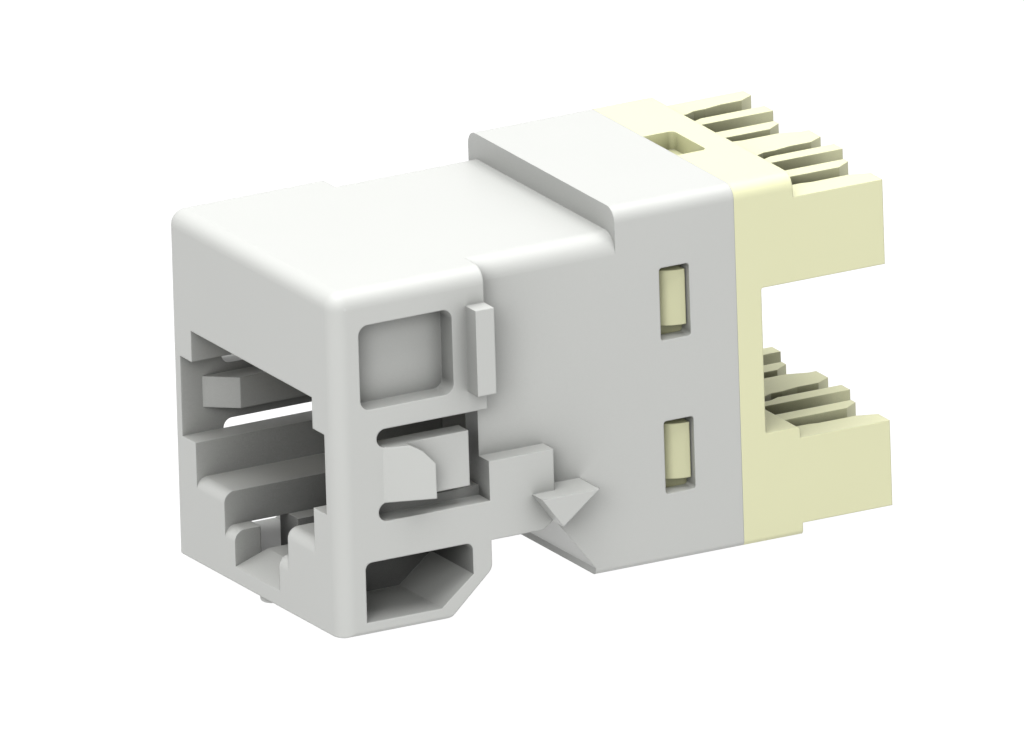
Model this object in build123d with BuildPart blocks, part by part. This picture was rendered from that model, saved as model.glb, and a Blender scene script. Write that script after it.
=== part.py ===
"""Keystone jack: an eight-contact modular socket with a punch-down terminal block at its rear.

Millimetres, +Z up, the plug goes in along +Y. The origin is the middle of the bounding box's bottom face.
Depths are counted from the nose's front face, heights from the nose's underside.
"""

import os
from build123d import *

# Nose, the plug end of the housing
nose_width = 16.5
nose_depth = 8.15
nose_edge_radius = 0.8
nose_sole_radius = 0.2
nose_heel_depth = 2.3
nose_heel_height = 2.1
nose_heel_radius = 0.6
foot_radius = 0.58
foot_edge_radius = 0.15
foot_height = 0.4
foot_setback = 0.75

# Mid body and the taller rear shell
body_width = 14.5
mid_bottom = 3.5
mid_depth = 7.6
mid_edge_radius = 1.0
shell_depth = 6.4
shell_rise = 1.25
shell_bottom = 0.37
shell_top_radius = 0.7
shell_bottom_radius = 0.25
shell_front_lip = 0.35
shell_wall = 0.9
step_wall = 0.95
ramp_start = 12.1
ramp_end = 14.2

# Plug socket, its side recesses and the steps for the plug's latch
side_wall = 1.1
socket_width = 12.0
socket_floor = 4.2
socket_height = 7.25
socket_floor_width = 11.7
socket_depth = 13.2
recess_top = 9.9
recess_bottom = 5.93
lead_in_radius = 0.55
latch_slot_width = 6.3
latch_ledge_height = 2.55
keel_slot_width = 4.4
keel_floor = 1.4
keel_lip = 0.8
keel_lead_in = 1.75
keel_rear_gap = 0.6
nose_rear_wall = 1.0

# Snap tongue in each side of the nose
slot_start = 2.2
slot_height = 0.92
tongue_bottom = 6.37
tongue_top = 9.1
tongue_end_gap = 1.0
tongue_sink = 0.1
catch_start = 2.5
catch_end = 4.9
catch_rise = 0.82
catch_cut_length = 1.14
catch_cut_height = 1.0
catch_bend_length = 0.56
catch_bend_height = 0.34
guide_bottom = 7.15
guide_top = 8.68
guide_start = 1.15
guide_full = 2.55

# Pockets, rib, plate and wedge on each side
pocket_start = 1.4
pocket_end = 6.4
pocket_drop = 1.7
pocket_height = 4.2
pocket_depth = 1.15
pocket_radius = 0.5
hex_start = 1.4
hex_end = 7.15
hex_bottom = 0.6
hex_top = 3.55
hex_cut_depth = 1.75
hex_cut_height = 1.4
hex_corner_radius = 0.35
hex_inner_wall = 0.85
hex_opening_length = 2.0
rib_thickness = 1.0
rib_rise = 1.0
rib_height = 4.25
plate_end = 11.6
plate_top = 7.4
plate_cut_depth = 0.65
plate_cut_height = 0.5
wedge_start = 10.4
wedge_end = 13.5
wedge_top = 5.35
wedge_tip_depth = 11.5
wedge_tip_height = 3.82
wedge_rise = 1.0

# Windows for the terminal block's lugs
window_start = 18.05
window_length = 1.6
window_height = 3.6
window_radius = 0.15
lower_window_bottom = 3.7
upper_window_drop = 6.95

# Contact wires
contact_count = 8
contact_pitch = 1.016
wire_radius = 0.23
wire_rise = 0.4
wire_knee_depth = 10.5
wire_apex_depth = 4.9
wire_apex_dip = 1.25
wire_tip_depth = 2.2
wire_tip_rise = 1.05
wire_knee_radius = 1.5
wire_apex_radius = 0.8
wire_end_gap = 0.1

# Chamber above the socket where the wires lift
chamber_width = 9.4
chamber_roof = 1.8
chamber_start = 1.6
comb_depth = 1.9
comb_rib = 0.4
comb_shelf_depth = 0.9
comb_shelf_thickness = 0.4

# Contact carrier, in a bay behind and above the socket
bay_side_step = 0.35
bay_start = 9.3
bay_roof = 1.0
carrier_gap = 0.1
carrier_front = 11.6
carrier_rear = 17.4
carrier_seat_gap = 0.3
carrier_shelf_thickness = 1.45
carrier_rib_height = 1.3
carrier_cheek_width = 1.3
carrier_cheek_height = 2.4
carrier_roof_gap = 0.4
carrier_foot_width = 1.0
carrier_foot_gap = 0.15
carrier_foot_bottom = 5.0
carrier_foot_drop = 0.7

# Circuit board
board_thickness = 1.6
board_side_gap = 0.1
board_bottom = 2.0
board_top_gap = 0.7
wire_hole_radius = 0.35
pin_hole_radius = 0.42

# Terminal block
slab_depth = 3.15
arm_length = 4.8
fin_overhang = 0.4
short_fin_drop = 0.7
upper_arm_drop = 0.95
upper_arm_height = 4.36
lower_arm_bottom = 0.97
lower_arm_top = 5.35
end_wall_step = 0.17
arm_gap_bottom = 5.73
arm_gap_inset = 1.83
arm_gap_radius = 0.1
ledge_radius = 0.18
slot_inner = 1.605
slot_margin = 1.97
slot_half_width = 0.34
slot_neck = 1.3
slot_step = 0.24
slot_step_length = 0.5
slot_belly = 0.42
slot_belly_start = 2.4
slot_belly_end = 3.3
slot_mouth_start = 4.45
slot_mouth_flare = 0.86
fin_lean = 0.22
short_slot_belly = 0.12
short_mouth_start = 3.75
short_mouth_flare = 0.49
short_fin_bevel = 0.52
finger_gap_offset = 1.68
finger_gap_width = 1.4
top_notch_width = 3.36
top_notch_length = 1.6
top_notch_drop = 0.9
top_notch_radius = 0.28
skirt_thickness = 0.75
skirt_gap = 0.15
skirt_reach = 4.5
skirt_margin = 0.3
lug_reach = 0.75
lug_swell = 0.6
lug_length = 1.45
lug_bottom_gap = 0.5
lug_top_gap = 0.37

# Forked terminals
terminal_thickness = 0.4
terminal_half_width = 0.85
terminal_gap = 0.05
terminal_length = 6.0
fork_depth = 4.2
fork_slit = 0.26
fork_mouth = 0.9
fork_mouth_depth = 0.8
pin_width = 0.6
pin_reach = 2.0
outer_pin_shift = 0.6

# Heights stacked up from the socket's floor: plug, contact carrier, roof, nose and shell
socket_top = socket_floor + socket_height
wire_apex_height = socket_top - wire_apex_dip
wire_tip_height = socket_top + wire_tip_rise
carrier_shelf_bottom = socket_top + carrier_seat_gap
carrier_shelf_top = carrier_shelf_bottom + carrier_shelf_thickness
carrier_foot_top = carrier_shelf_top - carrier_foot_drop
carrier_rib_top = carrier_shelf_top + carrier_rib_height
carrier_cheek_top = carrier_shelf_top + carrier_cheek_height
wire_height = carrier_shelf_top + wire_rise
bay_top = carrier_cheek_top + carrier_roof_gap
mid_top = bay_top + bay_roof
nose_height = mid_top
chamber_top = nose_height - chamber_roof
pocket_top = nose_height - pocket_drop
pocket_bottom = pocket_top - pocket_height
rib_top = pocket_top
rib_bottom = rib_top - rib_height
shell_top = mid_top + shell_rise
shell_roof = shell_top - step_wall
board_top = shell_roof - board_top_gap
window_bottoms = (lower_window_bottom, shell_top - upper_window_drop)
upper_arm_top = shell_top - upper_arm_drop
upper_arm_bottom = upper_arm_top - upper_arm_height

# Depth stations behind the front face
shell_front = nose_depth + mid_depth
shell_rear = shell_front + shell_depth
slab_rear = shell_rear + slab_depth
arm_end = slab_rear + arm_length
overall_depth = arm_end + fin_overhang
board_front = shell_rear - board_thickness
tongue_end = nose_depth - tongue_end_gap

# Distances from the middle plane, from the walls inwards
nose_half = nose_width / 2
recess_half = nose_half - side_wall
body_half = body_width / 2
shell_inner_half = body_half - shell_wall
bay_half = shell_inner_half - bay_side_step
skirt_outer = shell_inner_half - skirt_gap
skirt_inner = skirt_outer - skirt_thickness
slot_outer = body_half - slot_margin
hex_inner = latch_slot_width / 2 + hex_inner_wall
upper_arm = (upper_arm_bottom, upper_arm_top)
lower_arm = (lower_arm_bottom, lower_arm_top)
wire_places = [(i - (contact_count - 1) / 2) * contact_pitch for i in range(contact_count)]
comb_places = [(i - contact_count / 2) * contact_pitch for i in range(contact_count + 1)]
slot_places = (-slot_outer, -slot_inner, slot_inner, slot_outer)
finger_gaps = [(place + finger_gap_offset - finger_gap_width / 2,
                place + finger_gap_offset + finger_gap_width / 2) for place in (-slot_outer, slot_inner)]


def y_at(depth):
    """Place along Y of a depth behind the front face."""
    return depth - overall_depth / 2


def z_at(height):
    """Place along Z of a height above the nose's underside."""
    return height + foot_height


def block(x, y, z, mode=Mode.ADD):
    """A box between low and high X, depths and heights."""
    with Locations((sum(x) / 2, y_at(sum(y) / 2), z_at(sum(z) / 2))):
        Box(x[1] - x[0], y[1] - y[0], z[1] - z[0], mode=mode)


def side_prism(points, x_low, x_high, mode=Mode.ADD):
    """A prism with a side outline of (depth, height) points, between two X planes."""
    with BuildSketch(Plane.YZ.offset(x_low)) as outline:
        Polygon(*[(y_at(depth), z_at(height)) for depth, height in points], align=None)
    extrude(outline.sketch, amount=x_high - x_low, mode=mode)


def plan_prism(points, bottom, top, mode=Mode.ADD):
    """A prism with a plan outline of (x, depth) points, between two heights."""
    with BuildSketch(Plane.XY.offset(z_at(bottom))) as outline:
        Polygon(*[(x, y_at(depth)) for x, depth in points], align=None)
    extrude(outline.sketch, amount=top - bottom, mode=mode)


def rounded_pocket(face, side, y, z, radius, depth):
    """A pocket with rounded corners, sunk inwards from a side face at a distance from the middle."""
    with BuildSketch(Plane.YZ.offset(side * face)) as outline:
        with Locations((y_at(sum(y) / 2), z_at(sum(z) / 2))):
            RectangleRounded(y[1] - y[0], z[1] - z[0], radius)
    extrude(outline.sketch, amount=-side * depth, mode=Mode.SUBTRACT)


def mirrored(side, inner, outer):
    """Low and high X of a span counted outwards from the middle, on one side."""
    return (inner, outer) if side > 0 else (-outer, -inner)


def edges_along(part, axis, x=None, y=None, z=None):
    """Edges parallel to an axis whose middle lies at the given places."""
    def near(edge):
        middle = edge.center()
        wanted = ((x, abs(middle.X)), (y, middle.Y), (z, middle.Z))
        return all(place is None or abs(place - value) < 0.01 for place, value in wanted)
    return part.edges().filter_by(axis).filter_by(near)


# Outward catch of the right snap tongue: a ramp that ends square, its upper rear corner cut in two bevels
with BuildPart() as catch:
    plan_prism([(nose_half - tongue_sink, catch_start), (nose_half, catch_start),
                (nose_half + catch_rise, catch_end), (nose_half - tongue_sink, catch_end)],
               tongue_bottom, tongue_top)
    side_prism(
        [(catch_end - catch_cut_length, tongue_top),
         (catch_end - catch_bend_length, tongue_top - catch_bend_height),
         (catch_end, tongue_top - catch_cut_height), (catch_end, tongue_top)],
        nose_half - tongue_sink, nose_half + catch_rise, mode=Mode.SUBTRACT)

# Housing, one moulding
with BuildPart() as housing:
    # Nose, with a heel cut off its underside and a small foot below it
    side_prism(
        [(0, 0), (nose_depth - nose_heel_depth, 0), (nose_depth, nose_heel_height),
         (nose_depth, nose_height), (0, nose_height)], -nose_half, nose_half)
    nose_edges = edges_along(housing, Axis.X, y=y_at(0), z=z_at(nose_height))
    nose_edges += edges_along(housing, Axis.Z, x=nose_half, y=y_at(0))
    nose_edges += edges_along(housing, Axis.Y, x=nose_half, z=z_at(nose_height))
    fillet(nose_edges, nose_edge_radius)
    for depth, height in ((nose_depth - nose_heel_depth, 0), (nose_depth, nose_heel_height)):
        fillet(edges_along(housing, Axis.X, y=y_at(depth), z=z_at(height)), nose_heel_radius)
    with BuildSketch(Plane.XZ) as outline:
        with Locations((0, z_at(nose_height / 2))):
            Rectangle(nose_width, nose_height)
        fillet(outline.vertices().group_by(Axis.Y)[0], nose_sole_radius)
    extrude(amount=overall_depth, both=True, mode=Mode.INTERSECT)
    with BuildSketch(Plane.XY):
        with Locations((0, y_at(foot_setback))):
            Circle(foot_radius)
    extrude(amount=foot_height)
    fillet(housing.edges().filter_by(GeomType.CIRCLE).group_by(Axis.Z)[0], foot_edge_radius)

    # Mid body
    block((-body_half, body_half), (nose_depth - nose_rear_wall, shell_front + step_wall),
          (mid_bottom, mid_top))
    fillet(edges_along(housing, Axis.Y, x=body_half, z=z_at(mid_top)), mid_edge_radius)

    # Rear shell, with its ramp below the mid body
    shell_lip = shell_bottom + shell_front_lip
    shell_seam = mid_top - 2 * mid_edge_radius
    side_prism(
        [(ramp_start, mid_bottom), (ramp_end, shell_lip), (ramp_end, shell_bottom),
         (shell_rear, shell_bottom), (shell_rear, shell_top), (shell_front, shell_top),
         (shell_front, shell_seam), (ramp_start, shell_seam)],
        -body_half, body_half)
    fillet(edges_along(housing, Axis.Y, x=body_half, z=z_at(shell_top)), shell_top_radius)
    fillet(edges_along(housing, Axis.Y, x=body_half, z=z_at(shell_bottom)), shell_bottom_radius)

    # Socket for the plug, open at the front
    socket_half = socket_width / 2
    block((-socket_half, socket_half), (0, bay_start), (recess_bottom, socket_top), mode=Mode.SUBTRACT)
    block((-recess_half, recess_half), (0, nose_depth), (recess_bottom, recess_top), mode=Mode.SUBTRACT)
    floor_half = socket_floor_width / 2
    block((-floor_half, floor_half), (0, bay_start), (socket_floor, recess_bottom), mode=Mode.SUBTRACT)
    latch_half = latch_slot_width / 2
    latch_rear = nose_depth - nose_rear_wall
    block((-latch_half, latch_half), (0, latch_rear), (latch_ledge_height, socket_floor), mode=Mode.SUBTRACT)
    keel_half = keel_slot_width / 2
    keel_rear = latch_rear - keel_rear_gap
    side_prism(
        [(0, keel_lip), (keel_lead_in, keel_floor), (keel_rear, keel_floor),
         (keel_rear, latch_ledge_height), (0, latch_ledge_height)],
        -keel_half, keel_half, mode=Mode.SUBTRACT)
    fillet(edges_along(housing, Axis.X, y=y_at(0), z=z_at(socket_floor)), lead_in_radius)
    fillet(edges_along(housing, Axis.X, y=y_at(0), z=z_at(latch_ledge_height)), lead_in_radius)

    # Bay for the contact carrier, and the hollow shell behind it
    block((-bay_half, bay_half), (bay_start, shell_rear), (socket_floor, bay_top), mode=Mode.SUBTRACT)
    block((-shell_inner_half, shell_inner_half), (shell_front + step_wall, shell_rear),
          (shell_bottom + shell_wall, shell_roof), mode=Mode.SUBTRACT)

    # Chamber for the wires' lift, with a comb that keeps their tips apart
    chamber_half = chamber_width / 2
    block((-chamber_half, chamber_half), (chamber_start, bay_start), (socket_top, chamber_top),
          mode=Mode.SUBTRACT)
    block((-chamber_half, chamber_half), (chamber_start, chamber_start + comb_shelf_depth),
          (socket_top, socket_top + comb_shelf_thickness))
    for place in comb_places:
        block((place - comb_rib / 2, place + comb_rib / 2), (chamber_start, chamber_start + comb_depth),
              (socket_top, chamber_top))

    for side in (1, -1):
        wall = mirrored(side, recess_half, nose_half)

        # Slots above and below the snap tongue, joined behind its free end
        for low in (tongue_top, tongue_bottom - slot_height):
            with BuildSketch(Plane.YZ.offset(wall[0])):
                with Locations((y_at(slot_start + slot_height / 2), z_at(low + slot_height / 2))):
                    Circle(slot_height / 2)
            extrude(amount=wall[1] - wall[0], mode=Mode.SUBTRACT)
            block(wall, (slot_start + slot_height / 2, nose_depth), (low, low + slot_height),
                  mode=Mode.SUBTRACT)
        block(wall, (tongue_end, nose_depth), (tongue_bottom, tongue_top), mode=Mode.SUBTRACT)
        block(mirrored(side, nose_half - tongue_sink, nose_half), (catch_start, tongue_end),
              (tongue_bottom, tongue_top), mode=Mode.SUBTRACT)

        # Guide on the tongue's inner face, with a slanted front
        plan = [(recess_half, guide_start), (socket_half, guide_full), (socket_half, tongue_end),
                (recess_half, tongue_end)]
        plan_prism([(side * x, depth) for x, depth in plan], guide_bottom, guide_top)

        # Square pocket, and the deep pocket with a cut corner and an opening into the latch's space
        rounded_pocket(nose_half, side, (pocket_start, pocket_end), (pocket_bottom, pocket_top),
                       pocket_radius, pocket_depth)
        corners = [(hex_start, hex_top), (hex_start, hex_bottom), (hex_end - hex_cut_depth, hex_bottom),
                   (hex_end, hex_bottom + hex_cut_height), (hex_end, hex_top)]
        with BuildSketch(Plane.YZ.offset(side * nose_half)) as outline:
            Polygon(*[(y_at(depth), z_at(height)) for depth, height in corners], align=None)
            fillet(outline.vertices().group_by(Axis.Y)[-1], hex_corner_radius)
        extrude(amount=side * (hex_inner - nose_half), mode=Mode.SUBTRACT)
        block(mirrored(side, keel_half, hex_inner), (hex_start, hex_start + hex_opening_length),
              (hex_bottom, latch_ledge_height), mode=Mode.SUBTRACT)

        # Rib, raised plate and wedge catch that hold the jack in its frame
        block(mirrored(side, nose_half, nose_half + rib_rise), (nose_depth - rib_thickness, nose_depth),
              (rib_bottom, rib_top))
        side_prism(
            [(nose_depth, mid_bottom), (plate_end - plate_cut_depth, mid_bottom),
             (plate_end, mid_bottom + plate_cut_height), (plate_end, plate_top), (nose_depth, plate_top)],
            *mirrored(side, body_half, nose_half))
        side_prism(
            [(wedge_start, wedge_top), (wedge_tip_depth, wedge_tip_height), (wedge_end, wedge_top)],
            *mirrored(side, body_half, nose_half + wedge_rise))

        # Windows for the lugs
        for low in window_bottoms:
            rounded_pocket(body_half, side, (window_start, window_start + window_length),
                           (low, low + window_height), window_radius, shell_wall)

    # Catches on the two snap tongues
    add(catch.part)
    mirror(catch.part, about=Plane.YZ)


def slot_outline(place, leading):
    """Plan outline of a wire slot. A pair's leading slot swells on its left, its other one is straighter."""
    root = slab_rear
    half = slot_half_width
    tip = overall_depth
    step_end = root + slot_neck + slot_step_length
    if leading:
        left = [(-half, root), (-half, root + slot_neck), (-half - slot_step, step_end),
                (-half - slot_step, root + slot_belly_start), (-half - slot_belly, root + slot_belly_end),
                (-half - slot_belly, root + slot_mouth_start), (-half - slot_mouth_flare, tip)]
        right = [(half - fin_lean, tip), (half - fin_lean, step_end), (half, root + slot_neck), (half, root)]
    else:
        left = [(-half, root), (-half, root + short_mouth_start),
                (-half - short_fin_bevel, tip - short_fin_drop)]
        right = [(half + short_mouth_flare, arm_end), (half + short_slot_belly, root + short_mouth_start),
                 (half + short_slot_belly, step_end), (half, root + slot_neck), (half, root)]
    ends = [(left[-1][0], tip + fin_overhang), (right[0][0], tip + fin_overhang)]
    return [(place + x, depth) for x, depth in left + ends + right]


# Terminal block, one moulding
with BuildPart() as terminal_block:
    block((-body_half, body_half), (shell_rear, slab_rear), (shell_bottom, shell_top))
    fillet(edges_along(terminal_block, Axis.Y, x=body_half, z=z_at(shell_top)), shell_top_radius)
    fillet(edges_along(terminal_block, Axis.Y, x=body_half, z=z_at(shell_bottom)), shell_bottom_radius)

    # Opening between the arms, with a rounded ledge below it
    gap_root = slab_rear - arm_gap_inset
    block((-body_half, body_half), (gap_root, slab_rear), (arm_gap_bottom, upper_arm_bottom),
          mode=Mode.SUBTRACT)
    for height in (arm_gap_bottom, upper_arm_bottom):
        fillet(edges_along(terminal_block, Axis.X, y=y_at(gap_root), z=z_at(height)), arm_gap_radius)
    fillet(edges_along(terminal_block, Axis.X, y=y_at(slab_rear), z=z_at(arm_gap_bottom)), ledge_radius)

    # Two arms, each a comb of slots and fins. The left end wall stands a step above the fins and the right
    # one a step below them.
    for low, high in (lower_arm, upper_arm):
        top = high + end_wall_step
        block((-body_half, body_half), (slab_rear, overall_depth), (low, high))
        block((-body_half, -slot_outer), (slab_rear, overall_depth), (high, top))
        block((slot_outer, body_half), (slab_rear, overall_depth), (high - end_wall_step, high),
              mode=Mode.SUBTRACT)
        block((slot_outer, body_half), (arm_end, overall_depth), (low, high), mode=Mode.SUBTRACT)
        for number, place in enumerate(slot_places):
            plan_prism(slot_outline(place, number % 2 == 0), low, top, mode=Mode.SUBTRACT)
        for (gap_left, gap_right), short_slot in zip(finger_gaps, slot_places[1::2]):
            block((gap_left, gap_right), (slab_rear, overall_depth), (low, high), mode=Mode.SUBTRACT)
            block((gap_right, short_slot), (overall_depth - short_fin_drop, overall_depth), (low, high),
                  mode=Mode.SUBTRACT)

    # Notch in the slab's top
    notch_half = top_notch_width / 2
    notch_end = shell_rear + top_notch_length
    block((-notch_half, notch_half), (shell_rear, notch_end), (shell_top - top_notch_drop, shell_top),
          mode=Mode.SUBTRACT)
    fillet(edges_along(terminal_block, Axis.Z, x=notch_half, y=y_at(notch_end)), top_notch_radius)

    # Skirts that go into the shell, and the lugs that snap into its windows
    for side in (1, -1):
        for low in window_bottoms:
            block(mirrored(side, skirt_inner, skirt_outer),
                  (shell_rear - skirt_reach, shell_rear),
                  (low - skirt_margin, low + window_height + skirt_margin))
            lug_end = window_start + window_length - skirt_gap / 2
            lug_start = lug_end - lug_length
            with BuildSketch(Plane.XY.offset(z_at(low + lug_bottom_gap))):
                with BuildLine():
                    start = (side * skirt_outer, y_at(lug_start))
                    crown = (side * (skirt_outer + lug_reach), y_at(lug_end))
                    swell = (side * (skirt_outer + lug_swell), y_at(lug_start + lug_length / 2))
                    ThreePointArc(start, swell, crown)
                    Polyline(crown, (side * skirt_outer, y_at(lug_end)), start)
                make_face()
            extrude(amount=window_height - lug_bottom_gap - lug_top_gap)

    # Slits for the forked terminals
    for low, high in (lower_arm, upper_arm):
        middle = (low + high) / 2
        half = terminal_thickness / 2 + terminal_gap
        for place in slot_places:
            reach = terminal_half_width + terminal_gap
            block((place - reach, place + reach), (shell_rear, shell_rear + terminal_length + terminal_gap),
                  (middle - half, middle + half), mode=Mode.SUBTRACT)

# Contact carrier, one moulding
with BuildPart() as carrier:
    carrier_half = bay_half - carrier_gap
    foot_outer = skirt_inner - carrier_foot_gap
    block((-carrier_half, carrier_half), (socket_depth, carrier_rear), (socket_floor, carrier_shelf_bottom))
    block((-carrier_half, carrier_half), (carrier_front, carrier_rear),
          (carrier_shelf_bottom, carrier_shelf_top))
    for place in comb_places:
        block((place - comb_rib / 2, place + comb_rib / 2), (carrier_front, carrier_rear),
              (carrier_shelf_top, carrier_rib_top))
    for side in (1, -1):
        block(mirrored(side, carrier_half - carrier_cheek_width, carrier_half),
              (carrier_front, carrier_rear), (carrier_shelf_top, carrier_cheek_top))
        block(mirrored(side, foot_outer - carrier_foot_width, foot_outer),
              (carrier_rear, board_front), (carrier_foot_bottom, carrier_foot_top))

# Circuit board with a hole for each wire and each terminal pin
pin_spots = []
for place in slot_places:
    shift = outer_pin_shift if abs(place) == slot_outer else 0
    pin_spots.append(place - shift if place > 0 else place + shift)
pin_heights = [(low + high) / 2 for low, high in (lower_arm, upper_arm)]
board_half = skirt_inner - board_side_gap
with BuildPart() as board:
    block((-board_half, board_half), (board_front, shell_rear), (board_bottom, board_top))
    with BuildSketch(Plane.XZ.offset(-y_at(board_front))):
        with Locations(*[(place, z_at(wire_height)) for place in wire_places]):
            Circle(wire_hole_radius)
        with Locations(*[(place, z_at(height)) for place in pin_spots for height in pin_heights]):
            Circle(pin_hole_radius)
    extrude(amount=-board_thickness, mode=Mode.SUBTRACT)

# Finished pieces that aren't made in a row
pieces = {"jack_housing": housing, "terminal_block": terminal_block, "contact_carrier": carrier,
          "circuit_board": board}

# Contact wires: straight out of the board, down to the plug's blades, up into the comb
for number, place in enumerate(wire_places):
    with BuildPart() as wire:
        with BuildLine() as path:
            route = [(shell_rear - wire_end_gap, wire_height), (wire_knee_depth, wire_height),
                     (wire_apex_depth, wire_apex_height), (wire_tip_depth, wire_tip_height)]
            FilletPolyline(*[(place, y_at(depth), z_at(height)) for depth, height in route],
                           radius=[wire_knee_radius, wire_apex_radius])
        with BuildSketch(Plane(origin=path.line @ 0, z_dir=path.line % 0)):
            Circle(wire_radius)
        sweep()
    pieces[f"spring_contact_{number + 1}"] = wire

# Forked terminals: two tines across a wire slot, a shoulder in the slab, a pin in the board
terminal_number = 0
for height in pin_heights:
    for place, pin_place in zip(slot_places, pin_spots):
        terminal_number += 1
        root = shell_rear
        tip = shell_rear + terminal_length
        pin = pin_place - place
        outline = [
            (-terminal_half_width, root), (pin - pin_width / 2, root),
            (pin - pin_width / 2, root - pin_reach), (pin + pin_width / 2, root - pin_reach),
            (pin + pin_width / 2, root), (terminal_half_width, root),
            (terminal_half_width, tip), (fork_mouth / 2, tip), (fork_slit / 2, tip - fork_mouth_depth),
            (fork_slit / 2, tip - fork_depth), (-fork_slit / 2, tip - fork_depth),
            (-fork_slit / 2, tip - fork_mouth_depth), (-fork_mouth / 2, tip), (-terminal_half_width, tip)]
        with BuildPart() as terminal:
            plan_prism([(place + x, depth) for x, depth in outline],
                       height - terminal_thickness / 2, height + terminal_thickness / 2)
        pieces[f"idc_terminal_{terminal_number}"] = terminal

os.makedirs("parts", exist_ok=True)
for name, piece in pieces.items():
    piece.part.label = name
    export_step(piece.part, f"parts/{name}.step")
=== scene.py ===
import math
import bpy
from mathutils import Matrix, Vector


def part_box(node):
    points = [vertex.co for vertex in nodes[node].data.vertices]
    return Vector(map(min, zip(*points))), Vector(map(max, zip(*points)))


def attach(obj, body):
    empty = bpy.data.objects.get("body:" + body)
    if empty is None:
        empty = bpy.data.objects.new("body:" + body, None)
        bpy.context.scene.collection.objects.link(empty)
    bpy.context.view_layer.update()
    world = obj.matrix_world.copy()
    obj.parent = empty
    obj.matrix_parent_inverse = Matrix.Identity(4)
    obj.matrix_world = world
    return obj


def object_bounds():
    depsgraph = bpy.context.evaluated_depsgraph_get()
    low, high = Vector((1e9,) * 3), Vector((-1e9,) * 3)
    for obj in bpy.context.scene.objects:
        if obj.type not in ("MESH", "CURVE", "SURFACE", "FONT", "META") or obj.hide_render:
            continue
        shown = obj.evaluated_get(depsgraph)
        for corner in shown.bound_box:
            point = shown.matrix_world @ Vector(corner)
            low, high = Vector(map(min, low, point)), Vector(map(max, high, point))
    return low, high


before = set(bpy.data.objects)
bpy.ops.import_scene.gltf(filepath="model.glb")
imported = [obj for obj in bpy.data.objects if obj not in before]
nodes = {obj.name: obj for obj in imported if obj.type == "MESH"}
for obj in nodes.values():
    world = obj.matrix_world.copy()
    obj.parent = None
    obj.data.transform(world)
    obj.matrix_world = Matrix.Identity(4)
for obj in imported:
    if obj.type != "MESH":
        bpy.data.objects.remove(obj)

model_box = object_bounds()


# Housing: the light grey moulding with the socket, the snap tongues and the rear shell. It is one shot of
# ABS from a finely spark-eroded tool, so its faces are satin, faintly grained and slightly softened at
# every edge, and the colour is even but for the slow drift of a thick section cooling. Shade is painted
# into the colour of its recesses.

class Tone:
    """An output in a node tree. Arithmetic on it adds Math nodes, and node() adds any other node."""

    def __init__(self, tree, socket=None):
        self.tree, self.socket = tree, socket

    def node(self, kind, settings=None, sockets=None, output=0):
        made = self.tree.nodes.new(kind)
        for name, value in (settings or {}).items():
            setattr(made, name, value)
        for key, value in (sockets or {}).items():
            if isinstance(value, Tone):
                self.tree.links.new(value.socket, made.inputs[key])
            else:
                made.inputs[key].default_value = value
        return Tone(self.tree, made.outputs[output] if len(made.outputs) else None)

    def maths(self, operation, *values):
        return self.node("ShaderNodeMath", {"operation": operation}, dict(enumerate(values)))

    def __add__(self, other): return self.maths("ADD", self, other)
    def __radd__(self, other): return self.maths("ADD", other, self)
    def __sub__(self, other): return self.maths("SUBTRACT", self, other)
    def __rsub__(self, other): return self.maths("SUBTRACT", other, self)
    def __mul__(self, other): return self.maths("MULTIPLY", self, other)
    def __rmul__(self, other): return self.maths("MULTIPLY", other, self)

    def mixed(self, share, first, second):
        """The first colour where share is 0, the second where it is 1."""
        return self.node("ShaderNodeMix", {"data_type": "RGBA"}, {
            "Factor": share, 6: first, 7: second}, output=2)

    def along(self, vector, axis):
        """A vector's number along one axis."""
        return self.node("ShaderNodeSeparateXYZ", {}, {"Vector": vector}, output="XYZ".index(axis))

    def place(self):
        """The object coordinates."""
        return self.node("ShaderNodeTexCoord", output=3)

    def facing(self):
        """The direction that the surface looks in, along the object's axes."""
        return self.node("ShaderNodeTexCoord", output=1)


def new_finish(name):
    """An empty material and the start of its node tree."""
    finish = bpy.data.materials.new(name)
    finish.use_nodes = True
    finish.node_tree.nodes.clear()
    return finish, Tone(finish.node_tree)


def close_finish(start, sockets):
    """Ends a material's tree with one Principled surface."""
    surface = start.node("ShaderNodeBsdfPrincipled", {}, sockets)
    start.node("ShaderNodeOutputMaterial", {}, {"Surface": surface})


def opaque(shade, share=1.0):
    """A shade as a node's colour, at a share of its brightness."""
    return tuple(channel * share for channel in shade) + (1.0,)


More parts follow.
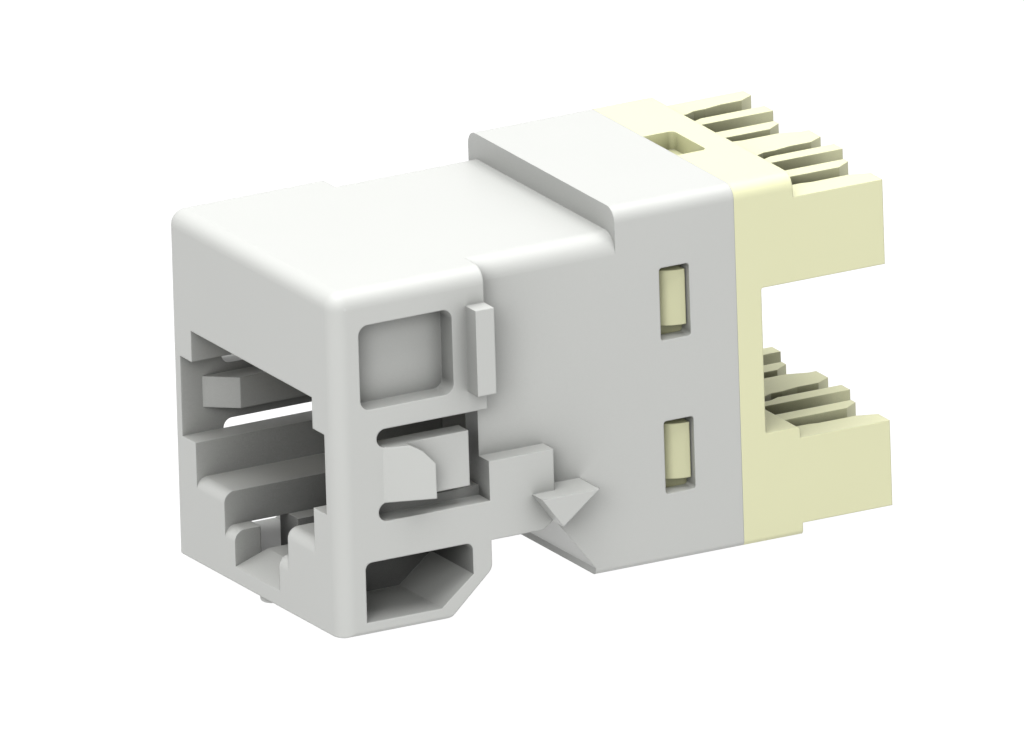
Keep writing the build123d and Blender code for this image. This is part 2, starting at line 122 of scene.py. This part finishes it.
def moulded_plastic(name, shade, roughness, grain_size, grain_depth, edge_softness, inner_painted_shade=0.0):
    """Satin moulded plastic: a slow drift of tone, spark-eroded grain and softened edges, with painted
    shade:
    the colour is darkened where ambient occlusion finds the part's own faces close by, most on faces that
    look to the side, less on faces that look up and least on faces that look down. Parts that stand
    within the shell, at low Y, get a further painted shade, set by the last argument."""
    drift_scale = 160.0
    drift_low = 0.975
    grain_strength = 0.35
    grain_roughness = 0.12
    painted_shade_reach = 0.014
    painted_shade_low = 0.06
    side_shade_weight = 1.08
    upward_shade_relief = 0.5
    inner_end, outer_start = 0.0066, 0.0069
    plastic_index = 1.53

    finish, start = new_finish(name)
    place = start.place()
    drift = start.node("ShaderNodeTexNoise", {}, {"Vector": place, "Scale": drift_scale, "Detail": 1.0})
    grain = start.node("ShaderNodeTexNoise", {}, {
        "Vector": place, "Scale": 1 / grain_size, "Detail": 2.0, "Roughness": 0.6})
    drifted = start.mixed(drift, opaque(shade, drift_low), opaque(shade))

    # Painted shade: the colour darkens towards a small share of the shade where ambient occlusion finds
    # the part's own faces close by, weighted by the way each face looks.
    openness = start.node("ShaderNodeAmbientOcclusion", {"samples": 12, "only_local": True}, {
        "Distance": painted_shade_reach}, output=1)
    facing_up = start.along(start.facing(), "Z")
    upward = start.maths("MAXIMUM", facing_up, 0.0)
    downward = start.maths("MAXIMUM", 0.0 - facing_up, 0.0)
    facing_shade_weight = side_shade_weight - upward * upward_shade_relief - downward
    # Painted shade: parts at low Y, within the shell's window, are darkened further.
    inner_shade = start.node("ShaderNodeMapRange", {}, {
        "Value": start.along(place, "Y"), "From Min": inner_end, "From Max": outer_start,
        "To Min": inner_painted_shade, "To Max": 0.0})
    colour = start.mixed((1.0 - openness) * facing_shade_weight + inner_shade, drifted, opaque(shade, painted_shade_low))

    softened = start.node("ShaderNodeBevel", {"samples": 6}, {"Radius": edge_softness})
    relief = start.node("ShaderNodeBump", {}, {
        "Height": grain, "Strength": grain_strength, "Distance": grain_depth, "Normal": softened})
    close_finish(start, {
        "Base Color": colour, "Roughness": grain * grain_roughness + (roughness - grain_roughness / 2),
        "IOR": plastic_index, "Normal": relief})
    return finish


def dress(names, finish):
    """Gives CAD nodes their finish."""
    for name in names:
        slots = nodes[name].material_slots
        for slot in slots:
            slot.material = finish
        if not len(slots):
            nodes[name].data.materials.append(finish)


housing_grey = (0.695, 0.705, 0.68)
dress(["jack_housing"],
      moulded_plastic("housing_plastic", housing_grey, roughness=0.42, grain_size=0.00012,
                      grain_depth=0.000004, edge_softness=0.00009))


# Contact carrier: the sled behind and above the plug's space. It is a darker, glass-filled plastic that
# stands the heat of soldering, so its grain is finer but deeper and it is duller than the housing.

carrier_shade = (0.30, 0.30, 0.29)
# Its finish paints shade into its recesses, as the housing's does.
dress(["contact_carrier"],
      moulded_plastic("carrier_plastic", carrier_shade, roughness=0.55, grain_size=0.00009,
                      grain_depth=0.000008, edge_softness=0.00005))


# Contact wires: eight bent spring wires of phosphor bronze. They are drawn through a die, so fine lines
# run along them, then tinned for soldering at the board's end and gold-plated where the plug touches.

contact_names = [f"spring_contact_{number}" for number in range(1, 9)]


def drawn_metal(name, near_shade, far_shade, change_start, change_end, roughness):
    """Metal with fine lines along Y, plated in one shade near the plug and another further back."""
    scale_across, scale_along = 9000.0, 500.0
    line_strength, line_depth = 0.25, 0.000004
    line_roughness = 0.2

    finish, start = new_finish(name)
    place = start.place()
    turned = start.node("ShaderNodeMapping", {}, {
        "Vector": place, "Scale": (scale_across, scale_along, scale_across)})
    lines = start.node("ShaderNodeTexNoise", {}, {"Vector": turned, "Scale": 1.0, "Detail": 1.0})
    back = start.node("ShaderNodeMapRange", {"interpolation_type": "SMOOTHSTEP"}, {
        "Value": start.along(place, "Y"), "From Min": change_start, "From Max": change_end})
    relief = start.node("ShaderNodeBump", {}, {
        "Height": lines, "Strength": line_strength, "Distance": line_depth})
    close_finish(start, {
        "Base Color": start.mixed(back, opaque(near_shade), opaque(far_shade)), "Metallic": 1.0,
        "Roughness": lines * line_roughness + (roughness - line_roughness / 2), "Normal": relief})
    return finish


gold = (0.83, 0.58, 0.22)
tin = (0.66, 0.655, 0.63)
dress(contact_names,
      drawn_metal("contact_metal", gold, tin, change_start=-0.0035, change_end=-0.0028, roughness=0.24))


# Circuit board: glass-epoxy laminate under a green lacquer, routed to size, so bare laminate shows at its
# cut edges. Copper tracks show as faint slanting ridges under the lacquer.

def board_lacquer():
    """Green solder lacquer with woven glass showing through, and bare laminate at the cut edges."""
    weave_scale, weave_height = 2600.0, 0.15
    cloud_scale = 420.0
    track_scale, track_bend = 150.0, 2.0
    track_start, track_full = 0.55, 0.7
    track_tint = 0.6
    edge_full, edge_end = 0.4, 0.6
    relief_strength, relief_depth = 0.5, 0.00002
    lacquer_roughness, edge_roughness = 0.28, 0.4
    thin_lacquer, thick_lacquer = (0.012, 0.11, 0.045), (0.018, 0.16, 0.065)
    copper_under_lacquer = (0.04, 0.24, 0.08)
    bare_laminate = (0.42, 0.40, 0.22)

    finish, start = new_finish("board")
    place = start.place()
    weave = start.node("ShaderNodeTexChecker", {}, {"Vector": place, "Scale": weave_scale}, output=1)
    cloud = start.node("ShaderNodeTexNoise", {}, {"Vector": place, "Scale": cloud_scale, "Detail": 2.0})
    tracks = start.node("ShaderNodeTexWave", {"bands_direction": "DIAGONAL"}, {
        "Vector": place, "Scale": track_scale, "Distortion": track_bend, "Detail": 0.0})
    ridge = start.node("ShaderNodeMapRange", {"interpolation_type": "SMOOTHSTEP"}, {
        "Value": tracks, "From Min": track_start, "From Max": track_full})
    lacquer = start.mixed(cloud, opaque(thin_lacquer), opaque(thick_lacquer))
    over_copper = start.mixed(ridge * track_tint, lacquer, opaque(copper_under_lacquer))
    facing_along = start.maths("ABSOLUTE", start.along(start.facing(), "Y"))
    cut_edge = start.node("ShaderNodeMapRange", {}, {
        "Value": facing_along, "From Min": edge_full, "From Max": edge_end, "To Min": 1.0, "To Max": 0.0})
    relief = start.node("ShaderNodeBump", {}, {
        "Height": weave * weave_height + ridge, "Strength": relief_strength, "Distance": relief_depth})
    close_finish(start, {
        "Base Color": start.mixed(cut_edge, over_copper, opaque(bare_laminate)),
        "Roughness": cut_edge * edge_roughness + lacquer_roughness, "Normal": relief})
    return finish


dress(["circuit_board"], board_lacquer())


# Solder joints: a ring of tinned copper and a cone of solder at each wire and each terminal pin on the
# board's front face. They are made by wave soldering, so each one is a smooth concave fillet.

def geometry_tree(name, inputs):
    """A modifier's node tree with one geometry in and out and the named number inputs."""
    tree = bpy.data.node_groups.new(name, "GeometryNodeTree")
    tree.interface.new_socket("Geometry", in_out="INPUT", socket_type="NodeSocketGeometry")
    for label in inputs:
        tree.interface.new_socket(label, in_out="INPUT", socket_type="NodeSocketFloat")
    tree.interface.new_socket("Geometry", in_out="OUTPUT", socket_type="NodeSocketGeometry")
    entry = tree.nodes.new("NodeGroupInput")
    return tree, Tone(tree), {item.name: Tone(tree, item) for item in entry.outputs if item.name}


def grown(base, tree, values):
    """The plain mesh that a tree grows on a base object, as a new object."""
    modifier = base.modifiers.new(tree.name, "NODES")
    modifier.node_group = tree
    for item in tree.interface.items_tree:
        if item.item_type == "SOCKET" and item.in_out == "INPUT" and item.name in values:
            modifier[item.identifier] = values[item.name]
    bpy.context.view_layer.update()
    evaluated = base.evaluated_get(bpy.context.evaluated_depsgraph_get())
    mesh = bpy.data.meshes.new_from_object(evaluated)
    made = bpy.data.objects.new(base.name.replace("_spots", ""), mesh)
    bpy.context.scene.collection.objects.link(made)
    bpy.data.objects.remove(base)
    return made


def spots(name, places):
    """A base object with one loose point at each place."""
    mesh = bpy.data.meshes.new(name)
    mesh.from_pydata(places, [], [])
    base = bpy.data.objects.new(name, mesh)
    bpy.context.scene.collection.objects.link(base)
    return base


def solder_metal():
    """Dull bright solder with a slightly frosted skin."""
    solder_shade = (0.62, 0.62, 0.60)
    frost_scale, frost_strength, frost_depth = 7000.0, 0.2, 0.00001
    smooth_roughness, frost_roughness = 0.22, 0.2

    finish, start = new_finish("solder")
    frost = start.node("ShaderNodeTexVoronoi", {}, {"Vector": start.place(), "Scale": frost_scale})
    relief = start.node("ShaderNodeBump", {}, {
        "Height": frost, "Strength": frost_strength, "Distance": frost_depth})
    close_finish(start, {
        "Base Color": opaque(solder_shade), "Metallic": 1.0,
        "Roughness": frost * frost_roughness + smooth_roughness, "Normal": relief})
    return finish


def joint_tree(finish):
    """A solder joint at each point: a ring on the board and a hollowed cone up to the wire."""
    sides, steps = 24, 6
    ring_share = 0.12
    foot_share = 0.9
    hollow = 1.1
    out_of_board = (math.pi / 2, 0.0, 0.0)

    tree, start, given = geometry_tree("solder joints", ["Ring Radius", "Neck Radius", "Height"])
    ring = start.node("GeometryNodeMeshCylinder", {}, {
        "Vertices": sides, "Radius": given["Ring Radius"], "Depth": given["Height"] * ring_share})
    skirt = start.node("GeometryNodeMeshCone", {"fill_type": "NGON"}, {
        "Vertices": sides, "Side Segments": steps, "Radius Bottom": given["Ring Radius"] * foot_share,
        "Radius Top": given["Neck Radius"], "Depth": given["Height"]})
    spot = start.node("GeometryNodeInputPosition")
    share = start.maths("DIVIDE", start.along(spot, "Z"), given["Height"])
    waist = 1.0 - share * (1.0 - share) * hollow
    pinch = start.node("ShaderNodeCombineXYZ", {}, {"X": waist, "Y": waist, "Z": 1.0})
    hollowed = start.node("GeometryNodeSetPosition", {}, {
        "Geometry": skirt,
        "Position": start.node("ShaderNodeVectorMath", {"operation": "MULTIPLY"}, {0: spot, 1: pinch})})
    joint = tree.nodes.new("GeometryNodeJoinGeometry")
    tree.links.new(ring.socket, joint.inputs[0])
    tree.links.new(hollowed.socket, joint.inputs[0])
    placed = start.node("GeometryNodeInstanceOnPoints", {}, {
        "Points": given["Geometry"], "Instance": Tone(tree, joint.outputs[0]), "Rotation": out_of_board})
    real = start.node("GeometryNodeRealizeInstances", {}, {"Geometry": placed})
    smooth = start.node("GeometryNodeSetShadeSmooth", {}, {"Geometry": real})
    painted = start.node("GeometryNodeSetMaterial", {}, {"Geometry": smooth, "Material": finish})
    start.node("NodeGroupOutput", {}, {0: painted})
    return tree


joint_height = 0.00045
wire_middle_drop = 0.00023
outer_pins_from, outer_pin_shift = 0.004, 0.0006

board_low, board_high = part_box("circuit_board")
joints = joint_tree(solder_metal())
wire_spots, pin_spots = [], []
for number in range(1, 9):
    low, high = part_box(f"spring_contact_{number}")
    wire_spots.append(((low.x + high.x) / 2, board_low.y, high.z - wire_middle_drop))
    low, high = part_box(f"idc_terminal_{number}")
    middle = (low.x + high.x) / 2
    inward = outer_pin_shift if abs(middle) > outer_pins_from else 0.0
    pin_spots.append((middle - math.copysign(inward, middle), board_low.y, (low.z + high.z) / 2))
for base, ring_radius, neck_radius in (
        (spots("wire_solder_spots", wire_spots), 0.00043, 0.00025),
        (spots("pin_solder_spots", pin_spots), 0.0006, 0.00034)):
    soldered = grown(base, joints, {"Ring Radius": ring_radius, "Neck Radius": neck_radius,
                                    "Height": joint_height})
    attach(soldered, "jack_body")


# Forked terminals: eight blades blanked from tinned bronze strip, one across each wire slot. The strip is
# rolled, which leaves fine lines along each blade, and the tin is duller than the wires' plating.

terminal_names = [f"idc_terminal_{number}" for number in range(1, 9)]
dress(terminal_names,
      drawn_metal("terminal_metal", tin, tin, change_start=0.0, change_end=0.001, roughness=0.34))


# Terminal block: the cream moulding with the two comb arms that the wires are punched into, with its
# skirts and snap lugs. It is polycarbonate from the same kind of tool as the housing, a shade smoother.
# Its skirts and lugs, which stand within the shell's window, get extra painted shade, and its recesses
# get painted shade as the housing's do.

block_cream = (0.95, 0.95, 0.61)
dress(["terminal_block"],
      moulded_plastic("terminal_plastic", block_cream, roughness=0.40, grain_size=0.00012,
                      grain_depth=0.000004, edge_softness=0.00008, inner_painted_shade=0.22))


# Studio: a white sweep under the part and white all round it. The floor and the world light the part
# from below and from the sides at a plain level, one large soft panel hangs above, and a small one
# stands to the camera's left, which brings out the corner between the plug face and the side.

def seen_directly(start):
    """1 where a camera, glossy or transmitted ray meets the surface, 0 for the light it gives."""
    path = start.node("ShaderNodeLightPath")
    named = {item.name: Tone(start.tree, item) for item in path.socket.node.outputs}
    total = named["Is Camera Ray"] + named["Is Glossy Ray"] + named["Is Transmission Ray"]
    return start.maths("MINIMUM", total, 1.0)


def square_panel(name, size, energy):
    """A square area lamp."""
    lamp = bpy.data.lights.new(name, "AREA")
    lamp.shape = "SQUARE"
    lamp.size = size
    lamp.energy = energy
    made = bpy.data.objects.new(name, lamp)
    bpy.context.scene.collection.objects.link(made)
    return made


def turned_back(azimuth, elevation):
    """The direction from the part to a place that is turned from the front and raised by these angles."""
    return Vector((math.sin(azimuth) * math.cos(elevation), -math.cos(azimuth) * math.cos(elevation),
                   math.sin(elevation)))


white = (1.0, 1.0, 1.0)
paper_grey = (0.1, 0.1, 0.1)
floor_light = 0.38
floor_shown = 1.0
floor_reach = 1.5
sky_light = 0.20
sky_shown = 1.0

floor_finish, start = new_finish("studio_floor")
seen = seen_directly(start)
paper = start.node("ShaderNodeBsdfDiffuse", {}, {"Color": opaque(paper_grey)})
glow = start.node("ShaderNodeEmission", {}, {
    "Color": opaque(white), "Strength": seen * (floor_shown - floor_light) + floor_light})
start.node("ShaderNodeOutputMaterial", {}, {
    "Surface": start.node("ShaderNodeAddShader", {}, {0: paper, 1: glow})})
floor_mesh = bpy.data.meshes.new("studio_floor")
floor_corners = [(-floor_reach, -floor_reach, 0), (floor_reach, -floor_reach, 0),
                 (floor_reach, floor_reach, 0), (-floor_reach, floor_reach, 0)]
floor_mesh.from_pydata(floor_corners, [], [(0, 1, 2, 3)])
floor = bpy.data.objects.new("studio_floor", floor_mesh)
floor.data.materials.append(floor_finish)
bpy.context.scene.collection.objects.link(floor)

world = bpy.data.worlds.new("studio_air")
world.use_nodes = True
world.node_tree.nodes.clear()
start = Tone(world.node_tree)
seen = seen_directly(start)
air = start.node("ShaderNodeBackground", {}, {
    "Color": opaque(white), "Strength": seen * (sky_shown - sky_light) + sky_light})
start.node("ShaderNodeOutputWorld", {}, {"Surface": air})
bpy.context.scene.world = world

panel = square_panel("soft_panel", 0.6, 3.4)
panel.location = (0.0, 0.0, 0.5)

key_distance = 0.5
key = square_panel("key_panel", 0.25, 1.15)
key.location = key_distance * turned_back(math.radians(50.0), math.radians(25.0))
key.rotation_euler = key.location.to_track_quat("Z", "Y").to_euler()
key.visible_glossy = False


# Camera: a view from the plug's right and a little above, rolled by nearly two degrees and drawn without
# perspective, as the photograph is. The place and the scale are those that its corners measure to.

azimuth, elevation, roll = (math.radians(angle) for angle in (62.16, 18.121, -1.786))
view_width = 0.048263
foot_height = 0.0004
aim_across, aim_above = 0.011955, 0.010387
camera_distance = 0.3

backward = turned_back(azimuth, elevation)
level = Vector((math.cos(azimuth), math.sin(azimuth), 0.0))
upward = backward.cross(level)
across = level * math.cos(roll) + upward * math.sin(roll)
above = upward * math.cos(roll) - level * math.sin(roll)
camera_data = bpy.data.cameras.new("camera")
camera_data.type = "ORTHO"
camera_data.ortho_scale = view_width
camera_data.clip_start, camera_data.clip_end = 0.01, 10.0
camera = bpy.data.objects.new("camera", camera_data)
aim = Vector((0.0, model_box[0][1], foot_height)) + across * aim_across + above * aim_above
turn = Matrix((across, above, backward)).transposed().to_4x4()
camera.matrix_world = Matrix.Translation(aim + backward * camera_distance) @ turn
bpy.context.scene.collection.objects.link(camera)
bpy.context.scene.camera = camera
bpy.context.scene.view_settings.view_transform = "Standard"
